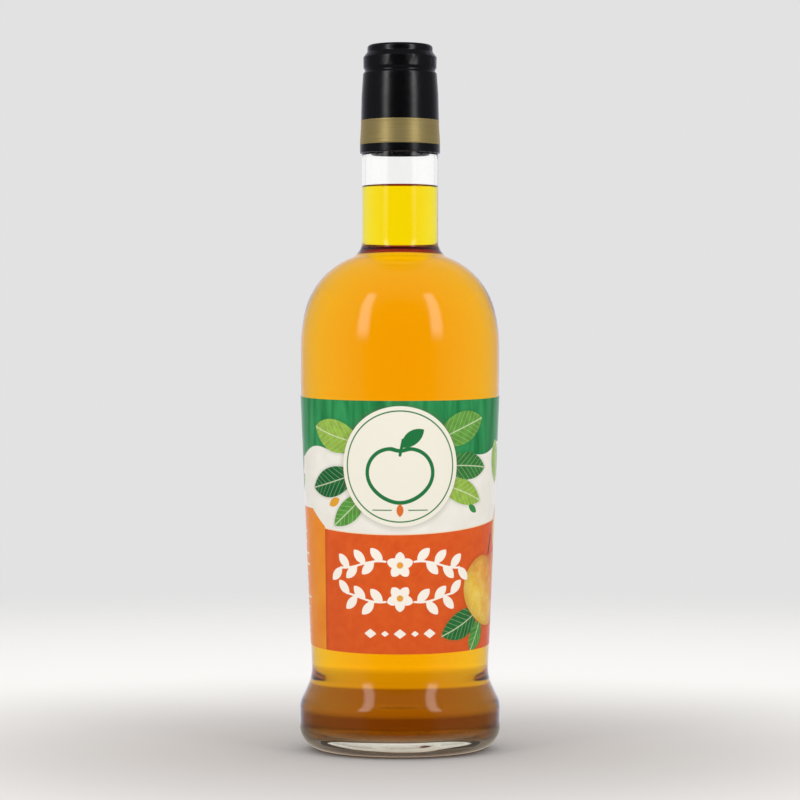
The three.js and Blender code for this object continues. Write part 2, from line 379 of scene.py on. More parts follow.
def turned(name, outline, angles, relief=0.0, loop=False, marks=None):
    """A piece whose outline point (r, z) stands at (r sin a, -r cos a, z) for each angle a.

    The relief, in millimetres for every row and column, moves the surface along its normal.
    An end on the axis closes with a fan of triangles, and a loop joins its last row to its
    first one. Marks are named values for the rows, which the mesh stores on its points.
    """
    rows = len(outline)
    normal = normals_of(outline)
    lift = np.broadcast_to(relief, (rows, len(angles)))
    radius = outline[:, :1] + normal[:, :1] * lift
    height = outline[:, 1:] + normal[:, 1:] * lift
    grid = np.stack([radius * np.sin(angles), -radius * np.cos(angles), height], axis=2)
    index = np.arange(rows * len(angles)).reshape(rows, -1)
    beside = np.roll(index, -1, axis=1)
    last = rows if loop else rows - 1
    above = np.roll(index, -1, axis=0)
    above_beside = np.roll(beside, -1, axis=0)
    quads = np.stack([index, beside, above_beside, above], axis=2)[:last]
    faces = []
    first_on_axis = not loop and outline[0, 0] < 1e-6
    last_on_axis = not loop and outline[-1, 0] < 1e-6
    vertices = grid.reshape(-1, 3)
    if first_on_axis:
        vertices[index[0]] = (0, 0, outline[0, 1])
        fan = np.stack([0 * index[1], beside[1], index[1]], axis=1)
        faces += fan.tolist()
        quads = quads[1:]
    if last_on_axis:
        vertices[index[-1]] = (0, 0, outline[-1, 1])
        fan = np.stack([index[-2], beside[-2], 0 * index[-2] + index[-1, 0]], axis=1)
        faces += fan.tolist()
        quads = quads[:-1]
    faces += quads.reshape(-1, 4).tolist()
    used = np.zeros(len(vertices), bool)
    used[np.concatenate([np.ravel(face) for face in faces])] = True
    number = np.cumsum(used) - 1
    piece = new_piece(name, vertices[used], [number[np.array(face)].tolist() for face in faces])
    for mark, values in (marks or {}).items():
        on_points = np.repeat(values, len(angles))[used]
        piece.data.attributes.new(mark, "FLOAT", "POINT").data.foreach_set("value", on_points)
    return piece


SHARP = np.radians(38)


def new_piece(name, vertices, faces):
    """A smooth-shaded mesh object from vertices in millimetres, with its real edges kept sharp."""
    mesh = bpy.data.meshes.new(name)
    mesh.from_pydata((vertices * MM).tolist(), [], faces)
    mesh.shade_smooth()
    mesh.set_sharp_from_angle(angle=SHARP)
    piece = bpy.data.objects.new(name, mesh)
    bpy.context.scene.collection.objects.link(piece)
    triangles = sum(len(face) - 2 for face in faces)
    print(name, "vertices:", len(vertices), "triangles:", triangles)
    return piece


def finished(piece, node, slot, *materials):
    """Puts the piece on its body in place of the CAD node, and gives it its materials."""
    for material in materials:
        piece.data.materials.append(material)
    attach(piece, "root")
    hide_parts(node)


# %% [markdown]
# ## The glass
#
# The real bottle is blown into a mould in two halves. Its outside follows the mould closely
# and shows a faint seam at both sides. Its inside was never touched by metal, so the wall
# swells slowly in thickness, most of all in the foot. The ring that it stands on is knurled,
# which keeps the hot glass off the conveyor.
#
# The outlines below are the same as the CAD model's, with far finer steps.

# %% Outlines of the glass
outer_wall = rounded_outline(
    [
        (0, 4.6),
        (17, 4.6, 24),
        (28.9, 0, 1.5),
        (41.05, 0, 9.5),
        (41.05, 18.95, 8.4),
        (35.94, 29.6, 18.8),
        (40.83, 149.25, 150),
        (40.83, 171.83, 60),
        (34.91, 195.16, 31.5),
        (15.6, 202.98, 7.1),
        (15.6, 243),
        (14.2, 270.5),
        (12.4, 273.5),
        (12.4, 287, 1),
        (9.3, 287),
    ]
)
inner_wall = rounded_outline(
    [
        (0, 8.3),
        (14, 8.3, 40),
        (30, 7, 20),
        (37.15, 7, 5),
        (37.15, 18.95, 8.4),
        (32.64, 29.6, 18.8),
        (37.98, 149.25, 150),
        (37.98, 171.03, 60),
        (32.36, 192.61, 28.65),
        (12.4, 200.76, 10.3),
        (12.4, 243),
        (9.3, 270.5),
        (9.3, 287),
    ]
)
OUTLINE_STEP = 2.0
FILL_LEVEL = 229.2
MENISCUS_RISE = 1.3

outside = divided(outer_wall, OUTLINE_STEP)
inside = divided(inner_wall, OUTLINE_STEP)
wet_top = FILL_LEVEL + MENISCUS_RISE
water_line = wet_top + np.array([-0.02, 0.02])
first_dry = int(np.argmax(inside[:, 1] > wet_top + 0.1))
bore = float(np.interp(wet_top, inside[first_dry - 1 :, 1], inside[first_dry - 1 :, 0]))
water_rows = np.stack([bore + 0 * water_line, water_line], axis=1)
inside = np.concatenate([inside[:first_dry], water_rows, inside[first_dry:]])
print("rows outside and inside:", len(outside), len(inside))

# %% [markdown]
# The unevenness is a handful of slow waves that run at a slant round the bottle. Whole
# numbers of waves go round, so they meet again at the back.

# %% Unevenness of the glass
SWELLS = ((2, 61.0, 0.4, 0.5), (3, -43.0, 2.1, 0.3), (5, 29.0, 4.4, 0.25), (8, -17.0, 1.3, 0.15))
OUTSIDE_SWELL = 0.03
INSIDE_SWELL = 0.16
SEAM_HEIGHT = 0.05
SEAM_WIDTH = 0.5
SEAM_ANGLES = (-np.pi / 2, np.pi / 2)


def swell(angle, height):
    """Sum of sines of (waves round) x angle + height / pitch + phase, each times its share."""
    waves = [s * np.sin(n * angle + height / pitch + phase) for n, pitch, phase, s in SWELLS]
    return np.sum(waves, axis=0)


def mould_seam(angle, radius):
    """A low ridge at both sides: height x exp(-(arc length from the seam / width)^2)."""
    arcs = [radius * np.angle(np.exp(1j * (angle - seam))) for seam in SEAM_ANGLES]
    return SEAM_HEIGHT * np.sum([np.exp(-((arc / SEAM_WIDTH) ** 2)) for arc in arcs], axis=0)


def outside_relief(angle, radius, height):
    """Swell and seams of the outside, fading out towards the ring that the bottle stands on."""
    clear_of_floor = np.clip((height - 1) / 8, 0, 1)
    return clear_of_floor * (OUTSIDE_SWELL * swell(angle, height) + mould_seam(angle, radius))


def inside_relief(angle, radius, height):
    """Swell of the inside, which fades out towards the axis and up the neck."""
    from_axis = np.clip((radius - 3) / 12, 0, 1)
    return from_axis * INSIDE_SWELL * swell(angle + 0.7, 1.3 * height)


# %% [markdown]
# The columns are just under 2 degrees apart, with a few more at each seam. The knurls are cut
# into the bearing ring from below, so that the bottle still stands on the same plane.

# %% Glass body
SEAM_COLUMNS = np.array([-0.9, -0.45, 0, 0.45, 0.9])
SEAM_CLEARANCE = 0.006
BODY_RADIUS = 40.83
KNURLS = 80
KNURL_DEPTH = 0.22
KNURL_RADII = (29.6, 31.9)

seam_columns = [seam + SEAM_COLUMNS / BODY_RADIUS for seam in SEAM_ANGLES]
even = evenly_round()
too_close = np.min(np.abs(even[:, None] - np.concatenate(seam_columns)), axis=1) < SEAM_CLEARANCE
glass_angles = np.sort(np.concatenate([even[~too_close], *seam_columns]))


def knurling(angle, radius, height):
    """Grooves of the bearing ring: depth x (1 - cos(knurls x angle)) / 2 x a hump across it."""
    inner, outer = KNURL_RADII
    hump = np.clip(1 - ((2 * radius - inner - outer) / (outer - inner)) ** 2, 0, 1)
    return -KNURL_DEPTH * hump * (height < 1) * (0.5 - 0.5 * np.cos(KNURLS * angle))


glass_outline = np.concatenate([outside, inside[::-1]])
outer_angle = glass_angles[None, :]
outer_relief = outside_relief(outer_angle, outside[:, :1], outside[:, 1:])
outer_relief = outer_relief + knurling(outer_angle, outside[:, :1], outside[:, 1:])
inner_relief = inside_relief(outer_angle, inside[:, :1], inside[:, 1:])
glass_relief = np.concatenate([outer_relief, -inner_relief[::-1]])

# %% [markdown]
# Flint glass is clear, but through a few centimetres of it, as at the thick edge of the base,
# the iron in the sand shows as a faint green. That tint belongs to the volume, not to the
# surface. Where the inside is wet, the vinegar takes away nearly all of the reflection, since
# the two bend light almost alike. The underside within its ring is scuffed and frosted. The
# mesh stores for each row how much it reflects and how rough it is.

# %% Wet and scuffed parts
WET_REFLECTION = 0.1
UNDERSIDE_ROUGHNESS = 0.35
UNDERSIDE_RADIUS = 29.0

is_underside = (outside[:, 0] < UNDERSIDE_RADIUS) & (outside[:, 1] < 6)
is_wet = inside[:, 1] < wet_top
rough_rows = np.concatenate([is_underside * UNDERSIDE_ROUGHNESS, 0.0 * is_wet[::-1]])
wet_rows = np.where(is_wet[::-1], WET_REFLECTION, 1.0)
reflection_rows = np.concatenate([np.ones(len(outside)), wet_rows])
glass = turned(
    "glass_bottle",
    glass_outline,
    glass_angles,
    glass_relief,
    marks={"reflection": reflection_rows, "scuffed": rough_rows},
)

# %% Glass material
GLASS_IOR = 1.52

# Flint glass, blown: fire-polished, so it has no roughness that the eye could see.
glass_material, tree = new_material("flint_glass")
reflection = add_node(tree, "ShaderNodeAttribute", attribute_name="reflection").outputs["Color"]
scuffed = add_node(tree, "ShaderNodeAttribute", attribute_name="scuffed").outputs["Fac"]
surface = add_node(
    tree,
    "ShaderNodeBsdfPrincipled",
    {
        "Base Color": (1, 1, 1, 1),
        "Roughness": scuffed,
        "IOR": GLASS_IOR,
        "Transmission Weight": 1.0,
        "Specular Tint": reflection,
    },
)
tint = add_node(
    tree, "ShaderNodeVolumeAbsorption", {"Color": linear("#d5da9c"), "Density": 4.0}
)
add_node(
    tree,
    "ShaderNodeOutputMaterial",
    {"Surface": surface.outputs[0], "Volume": tint.outputs[0]},
)
finished(glass, "bottle", "glass", glass_material)

# %% [markdown]
# ## The vinegar
#
# The liquid is one solid that reaches 0.05 mm into the glass, so that no air gap shows
# between them. It has the same unevenness as the wall. Its top creeps up the glass in a
# meniscus that dies away over a few millimetres. On the inner floor and in the foot its
# surface is tinted brown: painted shade, which darkens the light that passes there. The mesh
# stores where it lies, as a value from 0 to 1.

# %% Vinegar body
REACH_INTO_WALL = 0.05
CAPILLARY_LENGTH = 1.7
# Painted shade in the vinegar: on the inner floor within a radius, and in the foot below a height.
BOTTOM_SHADE_RADIUS = 36.5
BOTTOM_SHADE_FADE = 2.5
BOTTOM_SHADE_TOP = 12.0
FOOT_SHADE_TOP = 17.5
FOOT_SHADE_FADE = 2.0
FOOT_SHADE_SHARE = 1.0

wetted = inside[inside[:, 1] < wet_top - 0.5]
contact = np.array([[bore, wet_top]])
wetted = np.concatenate([wetted, contact])
wall_side = wetted + REACH_INTO_WALL * normals_of(wetted)
wall_side[0, 0] = 0
wall_side[-1, 1] = wet_top
inward = bore * np.linspace(0, 1, 26)[1:] ** 1.6
surface_height = FILL_LEVEL + MENISCUS_RISE * np.exp(-inward / CAPILLARY_LENGTH)
surface = np.stack([bore - inward, surface_height], axis=1)
vinegar_outline = np.concatenate([wall_side, surface])
wall_relief = inside_relief(outer_angle, wetted[:, :1], wetted[:, 1:])
still = np.zeros((len(surface), len(glass_angles)))
vinegar_relief = np.concatenate([wall_relief, still])
# Painted shade: the rows on the inner floor and in the foot are marked for a brown tint.
bottom_shade = np.clip((BOTTOM_SHADE_RADIUS - vinegar_outline[:, 0]) / BOTTOM_SHADE_FADE, 0, 1)
bottom_shade *= vinegar_outline[:, 1] < BOTTOM_SHADE_TOP
foot_shade = FOOT_SHADE_SHARE * np.clip((FOOT_SHADE_TOP - vinegar_outline[:, 1]) / FOOT_SHADE_FADE, 0, 1)
painted_foot_shade = np.maximum(bottom_shade, foot_shade)
vinegar = turned(
    "vinegar_fill", vinegar_outline, glass_angles, vinegar_relief, marks={"painted_foot_shade": painted_foot_shade}
)

# %% [markdown]
# Vinegar bends light like water. Its amber is again a matter of depth: in the narrow neck it
# is a bright yellow, and across the body it is orange. Red passes nearly unhindered, green is
# halved in about five centimetres, and blue is gone within one. The absorption of each colour,
# per metre, is the density times one minus the colour.

# %% Vinegar material
VINEGAR_IOR = 1.34
BLUE_LOSS = 300.0
GREEN_LOSS = 13.5
RED_LOSS = 0.3
# Painted shade: the brown that the surface turns in the foot.
PAINTED_SHADE_COLOUR = "#8e6c4c"

# Vinegar, poured in: a clear liquid whose own surfaces are perfectly smooth.
vinegar_material, tree = new_material("amber_vinegar")
# Painted shade: the surface turns brown where it is marked, which darkens the light through the foot.
painted_shade_amount = add_node(tree, "ShaderNodeAttribute", attribute_name="painted_foot_shade").outputs["Fac"]
shaded_base_colour = add_node(
    tree,
    "ShaderNodeMix",
    {0: painted_shade_amount, 6: (1, 1, 1, 1), 7: linear(PAINTED_SHADE_COLOUR)},
    data_type="RGBA",
).outputs[2]
surface_node = add_node(
    tree,
    "ShaderNodeBsdfPrincipled",
    {
        "Base Color": shaded_base_colour,
        "Roughness": 0.0,
        "IOR": VINEGAR_IOR,
        "Transmission Weight": 1.0,
        "Specular Tint": (0.1, 0.1, 0.1, 1),
    },
)
amber = (1 - RED_LOSS / BLUE_LOSS, 1 - GREEN_LOSS / BLUE_LOSS, 0.0, 1.0)
depth_colour = add_node(
    tree, "ShaderNodeVolumeAbsorption", {"Color": amber, "Density": BLUE_LOSS}
)
add_node(
    tree,
    "ShaderNodeOutputMaterial",
    {"Surface": surface_node.outputs[0], "Volume": depth_colour.outputs[0]},
)
finished(vinegar, "vinegar", "vinegar", vinegar_material)

# %% [markdown]
# ## The capsule
#
# The long capsule is black plastic that was shrunk over the closure by heat. It has a plain
# skirt, a groove, a ring and a narrower head. The shrinking leaves small dents round the
# groove and the ring, deeper at one side, and a lapped seam at the back.

# %% Capsule body
HEM_BOTTOM = 243.6
BAND_BOTTOM = 247.1
BAND_TOP = 257.1
SEAT_DEPTH = 0.3
SEAT_EDGE = 0.04
CAPSULE_STAND_OFF = 0.12

capsule_face = rounded_outline(
    [
        (16.12, HEM_BOTTOM),
        (16.42, HEM_BOTTOM + 0.3),
        (16.42, 248.2, 30),
        (16.05, 254.5, 30),
        (15.75, 267.5, 30),
        (15.15, 276.3, 0.7),
        (14.3, 277.4, 0.7),
        (15.05, 278.7, 0.7),
        (15.05, 283, 0.7),
        (13.4, 285.2, 1.4),
        (13.4, 288.1, 1.4),
        (0, 288.1),
    ]
)


def face_between(bottom, top):
    """The part of the capsule's face between two heights, with a point on each of them."""
    side = capsule_face[:-1]
    within = side[(side[:, 1] > bottom) & (side[:, 1] < top)]
    ends = [[np.interp(z, side[:, 1], side[:, 0]), z] for z in (bottom, top)]
    return np.concatenate([ends[:1], within, ends[1:]])


seat_bottom = BAND_BOTTOM - SEAT_EDGE
seat_top = BAND_TOP + SEAT_EDGE
seat = face_between(seat_bottom, seat_top) - np.array([SEAT_DEPTH, 0])
below_seat = face_between(HEM_BOTTOM, seat_bottom)
above_seat = capsule_face[capsule_face[:, 1] > seat_top]
above_seat = np.concatenate([face_between(seat_bottom, seat_top)[-1:], above_seat])
neck = outside[(outside[:, 1] >= HEM_BOTTOM) & (outside[:, 1] < 286)]
neck = np.concatenate([[[15.6, HEM_BOTTOM]], neck])
lining = neck + CAPSULE_STAND_OFF * normals_of(neck)
lining[0, 1] = HEM_BOTTOM
lining_top = 287.0 + CAPSULE_STAND_OFF
roof = np.array([[0, lining_top], [lining[-1, 0], lining_top]])
capsule_outline = divided(
    np.concatenate([roof, lining[::-1], below_seat, seat, above_seat]), 0.8
)

# %% Capsule relief
CAPSULE_COLUMNS = 200
DENTS = ((6, 3.1, 0.2, 0.3), (11, -2.3, 1.9, 0.25), (17, 1.7, 4.0, 0.25), (29, -1.1, 2.7, 0.2))
DENT_DEPTH = 0.11
DENT_HEIGHT = 281.0
DENT_REACH = 5.5
LAP_ANGLE = np.radians(157)
LAP_STEP = 0.13
LAP_FADE = 0.5
LAP_TURN = 0.012
LAP_CLEARANCE = 0.008
HEAD_FLAT_RADIUS = 12.9


def shrink_dents(angle, radius, height):
    """Waves as in the glass but shorter, strongest round the ring and towards the right side."""
    waves = [s * np.sin(n * angle + height / pitch + phase) for n, pitch, phase, s in DENTS]
    near_ring = np.exp(-(((height - DENT_HEIGHT) / DENT_REACH) ** 2))
    side = 0.55 + 0.45 * np.cos(angle - 1.1)
    return DENT_DEPTH * near_ring * side * np.sum(waves, axis=0) * (radius > HEAD_FLAT_RADIUS)


def lapped_seam(angle, radius):
    """A step at the seam that fades out round the capsule: step x exp(-angle past it / fade)."""
    past = np.mod(angle - LAP_ANGLE, 2 * np.pi)
    return LAP_STEP * np.exp(-past / LAP_FADE) * np.clip((radius - 9) / 4, 0, 1)


lap_columns = LAP_ANGLE + np.array([-LAP_TURN, 0.0])
even = evenly_round(CAPSULE_COLUMNS)
too_close = np.min(np.abs(even[:, None] - lap_columns), axis=1) < LAP_CLEARANCE
capsule_angles = np.sort(np.concatenate([even[~too_close], lap_columns]))
capsule_rows = capsule_outline[:, :1], capsule_outline[:, 1:]
capsule_relief = shrink_dents(capsule_angles[None, :], *capsule_rows)
capsule_relief = capsule_relief + lapped_seam(capsule_angles[None, :], capsule_rows[0])
first_face_row = int(np.argmax(np.isclose(capsule_outline[:, 0], below_seat[0, 0])))
on_face = np.arange(len(capsule_outline))[:, None] > first_face_row
capsule_relief = capsule_relief * on_face
capsule = turned("capsule_shell", capsule_outline, capsule_angles, capsule_relief)

# %% [markdown]
# Shrunk PVC is smooth and half glossy. A fine, slow bump breaks up the edges of the strips
# that it reflects, as the uneven film does.

# %% Capsule material
FILM_WAVE = 2.2
FILM_GRAIN = 0.12

capsule_material, tree = new_material("black_shrunk_plastic")
place = add_node(tree, "ShaderNodeTexCoord").outputs["Object"]
wave, grain = (
    add_node(tree, "ShaderNodeTexNoise", {"Vector": place, "Scale": 1 / (size * MM), "Detail": detail})
    for size, detail in ((FILM_WAVE, 1.5), (FILM_GRAIN, 2.0))
)
wavy = add_node(
    tree, "ShaderNodeBump", {"Height": wave.outputs[0], "Strength": 0.35, "Distance": 0.05 * MM}
)
grainy = add_node(
    tree,
    "ShaderNodeBump",
    {"Height": grain.outputs[0], "Strength": 0.3, "Distance": 0.004 * MM, "Normal": wavy.outputs[0]},
)
gloss = add_node(
    tree, "ShaderNodeMapRange", {"Value": wave.outputs[0], "To Min": 0.2, "To Max": 0.3}
)
film = add_node(
    tree,
    "ShaderNodeBsdfPrincipled",
    {
        "Base Color": linear("#040407"),
        "Roughness": gloss.outputs[0],
        "IOR": 1.53,
        "Specular IOR Level": 0.6,
        "Normal": grainy.outputs[0],
    },
)
add_node(tree, "ShaderNodeOutputMaterial", {"Surface": film.outputs[0]})
finished(capsule, "capsule", "capsule", capsule_material)

# %% [markdown]
# ## The gold band
#
# A band of gold foil runs round the capsule near its hem. It is a thin ring of its own here,
# with a fine raised line along both edges, where the real foil catches the light.

# %% Gold band
BAND_COLUMNS = 160
BAND_THICKNESS = 0.26
BEAD_HEIGHT = 0.05
BEAD_WIDTH = 0.28
BEAD_INSET = 0.55

band_face = divided(face_between(BAND_BOTTOM, BAND_TOP), 0.14)
for edge in (BAND_BOTTOM + BEAD_INSET, BAND_TOP - BEAD_INSET):
    band_face[:, 0] += BEAD_HEIGHT * np.exp(-(((band_face[:, 1] - edge) / BEAD_WIDTH) ** 2))
band_back = face_between(BAND_BOTTOM, BAND_TOP)[::-1] - np.array([BAND_THICKNESS, 0])
band_outline = np.concatenate([band_face, band_back])
band_angles = evenly_round(BAND_COLUMNS)
band_relief = lapped_seam(band_angles[None, :], band_outline[:, :1])
band = turned("gold_band", band_outline, band_angles, band_relief, loop=True)

# %% [markdown]
# Hot foil is a film of metal under a tinted lacquer. Its fine lines run round the band. They
# are stretched noise: very long round the axis and a fifth of a millimetre high.

# %% Gold material
FOIL_LINE = 0.2

gold_material, tree = new_material("gold_foil")
place = add_node(tree, "ShaderNodeTexCoord").outputs["Object"]
stretched = add_node(tree, "ShaderNodeMapping", {"Vector": place, "Scale": (0.02, 0.02, 1.0)})
lines = add_node(
    tree,
    "ShaderNodeTexNoise",
    {"Vector": stretched.outputs[0], "Scale": 1 / (FOIL_LINE * MM), "Detail": 3.0},
)
tone = add_node(
    tree,
    "ShaderNodeMix",
    {0: lines.outputs[0], 6: linear("#b69c58"), 7: linear("#dac78c")},
    data_type="RGBA",
)
ridges = add_node(
    tree, "ShaderNodeBump", {"Height": lines.outputs[0], "Strength": 0.4, "Distance": 0.01 * MM}
)
foil = add_node(
    tree,
    "ShaderNodeBsdfPrincipled",
    {
        "Base Color": tone.outputs[2],
        "Metallic": 0.75,
        "Roughness": 0.42,
        "Normal": ridges.outputs[0],
    },
)
add_node(tree, "ShaderNodeOutputMaterial", {"Surface": foil.outputs[0]})
finished(band, "capsule_band", "gold_band", gold_material)

# %% [markdown]
# ## The label: the paper
#
# The label is one straight strip of paper. The body widens upwards, so a straight strip laid
# on it rises towards the back, by the square of the arc divided by twice the distance to the
# tip of the cone. It stops short of the back, where the glass stays bare.
#
# The printed face is a fine grid, because the print is stored on its points. The back of the
# paper needs only a few rows, and the cut edges join the two.

# %% Label shape
LABEL_BOTTOM = 41.5
LABEL_TOP = 142.6
LABEL_HALF_TURN = np.radians(153)
FINE_HALF_TURN = np.radians(95)
FINE_COLUMNS = 312
COARSE_COLUMNS = 40
LABEL_ROWS = 226
BACK_ROWS = 12
PAPER_OUT = 0.11
PAPER_IN = -0.03
TAPER = (40.83 - 35.94) / (149.25 - 29.6)

fine = np.linspace(-FINE_HALF_TURN, FINE_HALF_TURN, FINE_COLUMNS + 1)
coarse = np.linspace(FINE_HALF_TURN, LABEL_HALF_TURN, COARSE_COLUMNS + 1)[1:]
label_angles = np.concatenate([-coarse[::-1], fine, coarse])
body = outside[(outside[:, 1] > 25) & (outside[:, 1] < 180)]


def label_grid(rows, stand_off):
    """Points, arc lengths and heights on the strip for a number of rows, in millimetres."""
    front_height = np.linspace(LABEL_BOTTOM, LABEL_TOP, rows)[:, None]
    front_radius = np.interp(front_height, body[:, 1], body[:, 0])
    arc = front_radius * label_angles
    height = front_height + arc**2 * TAPER / (2 * front_radius)
    radius = np.interp(height, body[:, 1], body[:, 0])
    radius = radius + stand_off + outside_relief(label_angles[None, :], radius, height)
    points = np.stack([radius * np.sin(label_angles), -radius * np.cos(label_angles), height], axis=2)
    return points, arc, front_height - LABEL_BOTTOM + 0 * arc


face_points, arc_mm, up_mm = label_grid(LABEL_ROWS, PAPER_OUT)
back_points, _, _ = label_grid(BACK_ROWS, PAPER_IN)
columns = len(label_angles)
face_index = np.arange(LABEL_ROWS * columns).reshape(LABEL_ROWS, columns)
back_index = face_index.size + np.arange(BACK_ROWS * columns).reshape(BACK_ROWS, columns)


def quads_between(low, low_beside, high_beside, high):
    """One face for each set of four neighbouring points."""
    return np.stack([low, low_beside, high_beside, high], axis=-1).reshape(-1, 4)


printed_faces = quads_between(
    face_index[:-1, :-1], face_index[:-1, 1:], face_index[1:, 1:], face_index[1:, :-1]
)
paper_faces = np.concatenate(
    [
        quads_between(
            back_index[:-1, 1:], back_index[:-1, :-1], back_index[1:, :-1], back_index[1:, 1:]
        ),
        quads_between(
            back_index[0, :-1], back_index[0, 1:], face_index[0, 1:], face_index[0, :-1]
        ),
        quads_between(
            face_index[-1, :-1], face_index[-1, 1:], back_index[-1, 1:], back_index[-1, :-1]
        ),
    ]
)
left_edge = np.concatenate([face_index[:, 0][::-1], back_index[:, 0]]).tolist()
right_edge = np.concatenate([face_index[:, -1], back_index[:, -1][::-1]]).tolist()
label_vertices = np.concatenate([face_points.reshape(-1, 3), back_points.reshape(-1, 3)])
label_faces = printed_faces.tolist() + paper_faces.tolist() + [left_edge, right_edge]
label = new_piece("paper_label", label_vertices, label_faces)
print("height of the strip at its ends, mm:", round(float(face_points[0, 0, 2]), 2))

# %% [markdown]
# ## The label: the print
#
# The print is drawn with distances. For each shape, every point of the grid is given its
# distance to the shape's edge in millimetres, less than zero inside. The renderer blends such
# distances evenly between points and cuts them at zero, which gives edges far crisper than
# the grid. A leaf is where two circles overlap. An apple is two circles that melt together.

# %% Shapes
s, h = arc_mm.ravel(), up_mm.ravel()


def disc_distance(centre, radius):
    """Distance to a circle."""
    return np.hypot(s - centre[0], h - centre[1]) - radius


def melted(first, second, softness):
    """Two distances joined with a soft crease: the smaller one, less a bump where they are alike."""
    likeness = np.clip(0.5 + 0.5 * (second - first) / softness, 0, 1)
    return second + (first - second) * likeness - softness * likeness * (1 - likeness)


def leaf_frame(base, turn):
    """Distance along a leaf from its base, and to the left of its rib."""
    cosine, sine = np.cos(np.radians(turn)), np.sin(np.radians(turn))
    along = (s - base[0]) * cosine + (h - base[1]) * sine
    across = (h - base[1]) * cosine - (s - base[0]) * sine
    return along, across


def leaf_distance(base, turn, length, width, bend=0.0):
    """Distance to the overlap of two circles whose crossing points are the base and the tip."""
    along, across = leaf_frame(base, turn)
    across = across - bend * along * (length - along) / length
    half, side = length / 2, width / 2
    radius = (half**2 + side**2) / (2 * side)
    return np.hypot(along - half, np.abs(across) + radius - side) - radius


def line_distance(start, end, width):
    """Distance to a straight stroke with round ends."""
    start, end = np.array(start, float), np.array(end, float)
    way = end - start
    share = ((s - start[0]) * way[0] + (h - start[1]) * way[1]) / (way @ way)
    share = np.clip(share, 0, 1)
    return np.hypot(s - start[0] - share * way[0], h - start[1] - share * way[1]) - width / 2


# %% [markdown]
# Each field of colour has its own layer: an orange field below a wave, a lighter side panel
# with plain rules, a dark green band above, and a round badge in the middle.

# %% Fields of colour
layers = {}
layers["field"] = h - (50.5 - 2.7 * np.cos((s + 4) / 30))
PANEL_EDGE = -34.5
panel_right = s - PANEL_EDGE
panel_top = h - 56.5 + 0.32 * np.clip(s + 44, 0, None) * 2.2
layers["panel"] = np.maximum(np.maximum(panel_right, panel_top), -(s + 96))
rule = np.abs(np.mod(h, 4.4) - 2.2) - 0.42
rule_length = s - (-46 - 9 * np.abs(np.sin(np.floor(h / 4.4) * 2.3)))
layers["rules"] = np.max([rule, rule_length, -(s + 88), h - 47, 6 - h], axis=0)
layers["band"] = 79 - 2.5 * np.sin(s / 13 + 0.6) - 1.6 * np.sin(s / 5.3) - h

BADGE = (0.0, 75.0)
BADGE_RADIUS = 24.0
layers["badge"] = disc_distance(BADGE, BADGE_RADIUS)

# %% [markdown]
# Leaves stand round the badge, hang from the band and lie beside the apples. For every point
# the nearest leaf is kept: the distance to its edge, the place along and across it for the
# veins, and its tone, from dark green (0) to lime (1).

# %% Leaves
LEAVES = [
    ((-16, 84), 166, 25, 13, 0.9),
    ((-18, 72), 196, 25, 12, 0.0),
    ((-14, 64), 222, 20, 9, 0.55),
    ((16, 68), -20, 23, 10, 0.9),
    ((18, 75), -4, 23, 11, 0.2),
    ((15, 85), 20, 25, 13, 0.6),
]
for i, place_round in enumerate(np.arange(-88, 92, 15.5)):
    if abs(place_round) > 48:
        tone = (0.15, 0.75, 0.4, 0.0, 0.9)[i % 5]
        LEAVES.append(((place_round, 84), -90 + 26 * np.sin(2.4 * i), 21 + 3 * np.cos(i), 11, tone))
LEAVES += [
    ((37, 16), 205, 22, 11, 0.1),
    ((39, 12), 240, 14, 8, 0.5),
    ((-66, 62), 30, 14, 7, 0.6),
    ((72, 30), -60, 20, 10, 0.2),
]
edges, alongs, acrosses, tones = [], [], [], []
for base, turn, length, width, tone in LEAVES:
    along, across = leaf_frame(base, turn)
    edges.append(leaf_distance(base, turn, length, width, 0.08))
    alongs.append(along)
    acrosses.append(across - 0.08 * along * (length - along) / length)
    tones.append(tone + 0 * along)
nearest = np.argmin(edges, axis=0)
chosen = nearest, np.arange(len(s))
layers["leaf"] = np.array(edges)[chosen]
leaf_place = np.stack([np.array(part)[chosen] for part in (alongs, acrosses, tones)], axis=1)

# %% [markdown]
# The apples are whole ones with a stem. Their own coordinates, from -1 to 1 across the fruit,
# carry the blush and the shading.

# %% Apples
APPLES = [((46, 25), 17.0), ((66, 47), 13.5)]


def apple_distance(centre, radius):
    """Two circles beside each other that melt together, with a dip where the stem stands."""
    left = disc_distance((centre[0] - 0.3 * radius, centre[1]), 0.76 * radius)
    right = disc_distance((centre[0] + 0.3 * radius, centre[1]), 0.76 * radius)
    chin = disc_distance((centre[0], centre[1] - 0.28 * radius), 0.66 * radius)
    fruit = melted(melted(left, right, 0.25 * radius), chin, 0.3 * radius)
    dip = disc_distance((centre[0], centre[1] + 0.98 * radius), 0.26 * radius)
    return -melted(-fruit, dip, 0.16 * radius)


fruits = np.array([apple_distance(*apple) for apple in APPLES])
fruit = np.argmin(fruits, axis=0)
layers["apple"] = fruits.min(axis=0)
centres = np.array([apple[0] for apple in APPLES])[fruit]
radii = np.array([apple[1] for apple in APPLES])[fruit]
apple_place = np.stack([(s - centres[:, 0]) / radii, (h - centres[:, 1]) / radii, fruit], axis=1)
layers["stem"] = np.minimum(
    line_distance((46, 38), (48.5, 45.5), 1.1), line_distance((66, 57), (67.5, 63), 1.0)
)

# %% [markdown]
# The emblem in the badge is a plain apple in outline with one leaf. Under the badge lie two
# garlands of white leaves round a blossom, and a row of lozenges.

